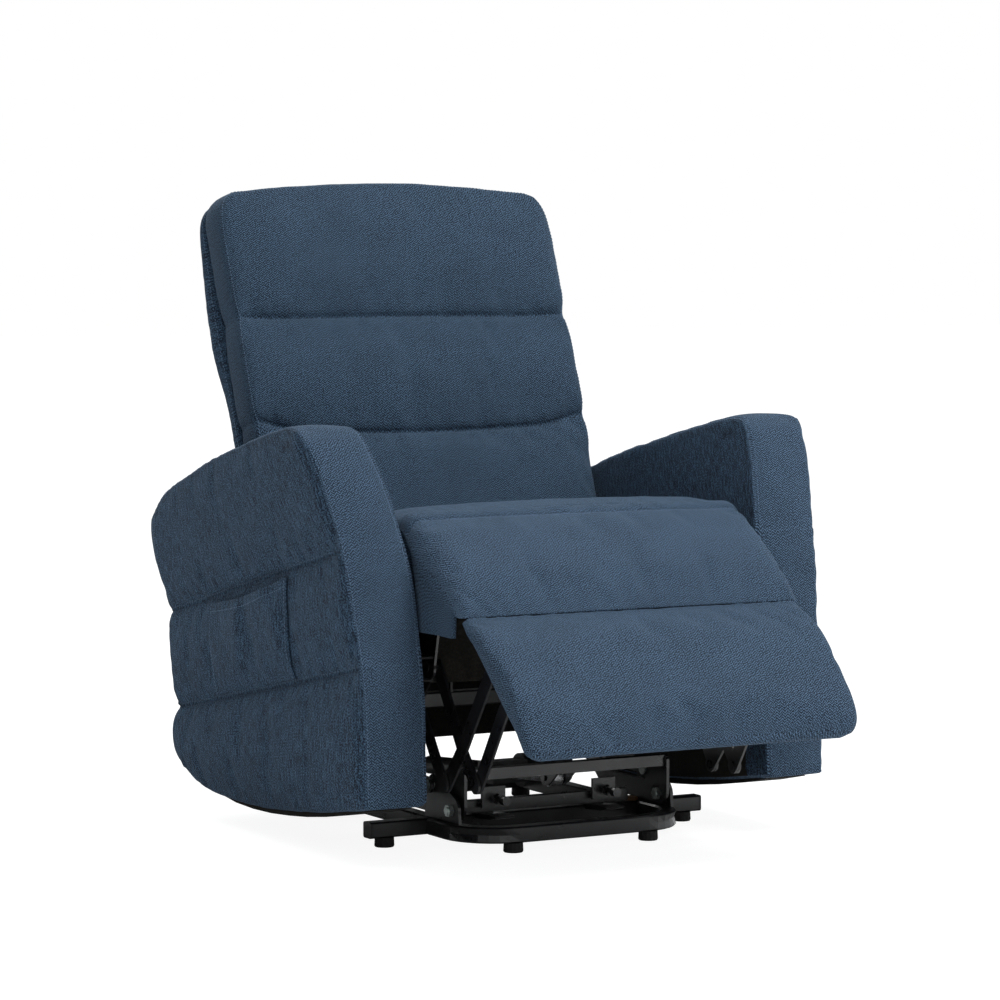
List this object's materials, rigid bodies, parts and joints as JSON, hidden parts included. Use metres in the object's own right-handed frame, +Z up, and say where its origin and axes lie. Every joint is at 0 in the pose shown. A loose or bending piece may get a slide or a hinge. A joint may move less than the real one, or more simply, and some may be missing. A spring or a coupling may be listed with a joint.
{
  "type": "lift recliner chair",
  "caption": "Upholstered lift recliner: tilting lift base, sliding seat with scissor footrest, channelled reclining back and padded arms with a side pocket.",
  "frame": {"origin": "on the floor, under the middle of the whole chair as it stands at rest", "axes": "+Z up, -Y the way the sitter faces (the footrest side), +X to the sitter's left"},
  "size_m": [0.8876, 1.0728, 1.0265],
  "materials": {
    "fabric_blue": "slate-blue chenille with a fine woven pattern",
    "black_cloth": "thin black lining cloth",
    "black_steel": "satin black powder coat",
    "zinc": "zinc-plated",
    "bright_steel": "bright steel",
    "black_plastic": "matt black",
    "rubber": "black rubber",
    "brown_rubber": "brown rubber",
    "black_board": "board covered in thin black cloth"
  },
  "bodies": {
    "base": {"base_cross_tube": "black_steel", "base_front_loop": "black_steel", "base_side_rail_left": "black_steel", "base_side_rail_right": "black_steel", "base_rear_tube": "black_steel", "outrigger_end_cap_left": "black_plastic", "outrigger_end_cap_right": "black_plastic", "foot_side_left": "rubber", "foot_side_right": "rubber", "foot_front_left": "rubber", "foot_front_right": "rubber", "foot_rear_left": "rubber", "foot_rear_right": "rubber", "lift_riser_left": "black_steel", "lift_riser_right": "black_steel", "lower_pivot_bolt_left": "zinc", "lower_pivot_bolt_right": "zinc", "upper_pivot_bolt_left": "zinc", "upper_pivot_bolt_right": "zinc", "stop_bar": "black_steel", "rest_bumper_left": "brown_rubber", "rest_bumper_right": "brown_rubber"},
    "lift_arms": {"lift_arm_left": "black_steel", "lift_arm_right": "black_steel", "lift_bar": "black_steel"},
    "lift_stays": {"lift_stay_left": "black_steel", "lift_stay_right": "black_steel"},
    "lift_actuator_housing": {"lift_motor": "black_plastic"},
    "lift_actuator_rod": {"lift_rod": "bright_steel"},
    "chair_frame": {"frame_cross_tube": "black_steel", "frame_rail_left": "black_steel", "frame_rail_right": "black_steel", "recline_motor": "black_plastic", "arm_left": "fabric_blue", "arm_right": "fabric_blue", "arm_board_left": "black_cloth", "arm_board_right": "black_cloth", "side_pocket": "fabric_blue", "rear_panel": "black_cloth"},
    "seat": {"seat_cushion": "fabric_blue", "seat_box": "black_board", "seat_plate_left": "black_steel", "seat_plate_right": "black_steel", "recline_rod": "bright_steel"},
    "footrest_front_links": {"front_link_left": "black_steel", "front_link_right": "black_steel"},
    "footrest_rear_links": {"rear_link_left": "black_steel", "rear_link_right": "black_steel"},
    "footrest_cross_links": {"cross_link_left": "black_steel", "cross_link_right": "black_steel"},
    "footrest_ottoman_links": {"ottoman_link_left": "black_steel", "ottoman_link_right": "black_steel"},
    "footrest": {"footrest_pad": "fabric_blue", "footrest_board": "black_board", "footrest_bracket_left": "black_steel", "footrest_bracket_right": "black_steel"},
    "front_flap": {"front_flap": "fabric_blue"},
    "backrest": {"back_cushion": "fabric_blue", "back_shell": "fabric_blue"}
  },
  "joints": [
    {"name": "lift", "type": "hinge", "parent": "base", "child": "lift_arms", "pos_m": [0, -0.126, 0.06], "axis": [1, 0, 0], "range_deg": [0, 42]},
    {"name": "lift_stay_front", "type": "hinge", "parent": "base", "child": "lift_stays", "pos_m": [0, -0.066, 0.092], "axis": [1, 0, 0], "range_deg": [0, 37.8]},
    {"name": "lift_frame_tilt", "type": "hinge", "parent": "lift_arms", "child": "chair_frame", "pos_m": [0, 0.109, 0.125], "axis": [1, 0, 0], "range_deg": [-22.6, 0]},
    {"name": "lift_actuator_pitch", "type": "hinge", "parent": "base", "child": "lift_actuator_housing", "pos_m": [0, 0.315, 0.064], "axis": [1, 0, 0], "range_deg": [-0.86, 0]},
    {"name": "lift_actuator_stroke", "type": "slide", "parent": "lift_actuator_housing", "child": "lift_actuator_rod", "axis": [0, -0.9971, 0.0762], "range_m": [0, 0.03031]},
    {"name": "recline_travel", "type": "slide", "parent": "chair_frame", "child": "seat", "axis": [0, -1, 0], "range_m": [-0.045, 0.0405]},
    {"name": "footrest_front_link_turn", "type": "hinge", "parent": "seat", "child": "footrest_front_links", "pos_m": [0, -0.1522, 0.2863], "axis": [1, 0, 0], "range_deg": [-32, 35.6]},
    {"name": "footrest_rear_link_turn", "type": "hinge", "parent": "seat", "child": "footrest_rear_links", "pos_m": [0, -0.1067, 0.2311], "axis": [1, 0, 0], "range_deg": [-32.2, 35.8]},
    {"name": "footrest_cross_link_turn", "type": "hinge", "parent": "footrest_front_links", "child": "footrest_cross_links", "pos_m": [0, -0.2346, 0.1621], "axis": [1, 0, 0], "range_deg": [-37.6, 33.9]},
    {"name": "footrest_ottoman_link_turn", "type": "hinge", "parent": "footrest_front_links", "child": "footrest_ottoman_links", "pos_m": [0, -0.2719, 0.1186], "axis": [1, 0, 0], "range_deg": [-37.6, 33.8]},
    {"name": "footrest_turn", "type": "hinge", "parent": "footrest_cross_links", "child": "footrest", "pos_m": [0, -0.338, 0.3098], "axis": [1, 0, 0], "range_deg": [-39.5, 43.9]},
    {"name": "front_flap_turn", "type": "hinge", "parent": "seat", "child": "front_flap", "pos_m": [0, -0.171, 0.508], "axis": [1, 0, 0], "range_deg": [-16.9, 18.7]},
    {"name": "backrest_recline", "type": "hinge", "parent": "seat", "child": "backrest", "pos_m": [0, 0.28, 0.37], "axis": [-1, 0, 0], "range_deg": [-6, 32]}
  ],
  "couplings": [
    {"joint": "lift_stay_front", "follows": "lift", "ratio": 0.893},
    {"joint": "lift_frame_tilt", "follows": "lift", "ratio": -0.531},
    {"joint": "lift_actuator_pitch", "follows": "lift", "ratio": -0.01581},
    {"joint": "lift_actuator_stroke", "follows": "lift", "m_per_rad": 0.04066},
    {"joint": "footrest_front_link_turn", "follows": "recline_travel", "rad_per_m": -13.77},
    {"joint": "footrest_rear_link_turn", "follows": "recline_travel", "rad_per_m": -13.866},
    {"joint": "footrest_cross_link_turn", "follows": "recline_travel", "rad_per_m": 14.569},
    {"joint": "footrest_ottoman_link_turn", "follows": "recline_travel", "rad_per_m": 14.555},
    {"joint": "footrest_turn", "follows": "recline_travel", "rad_per_m": -17.006},
    {"joint": "front_flap_turn", "follows": "recline_travel", "rad_per_m": -7.243}
  ]
}
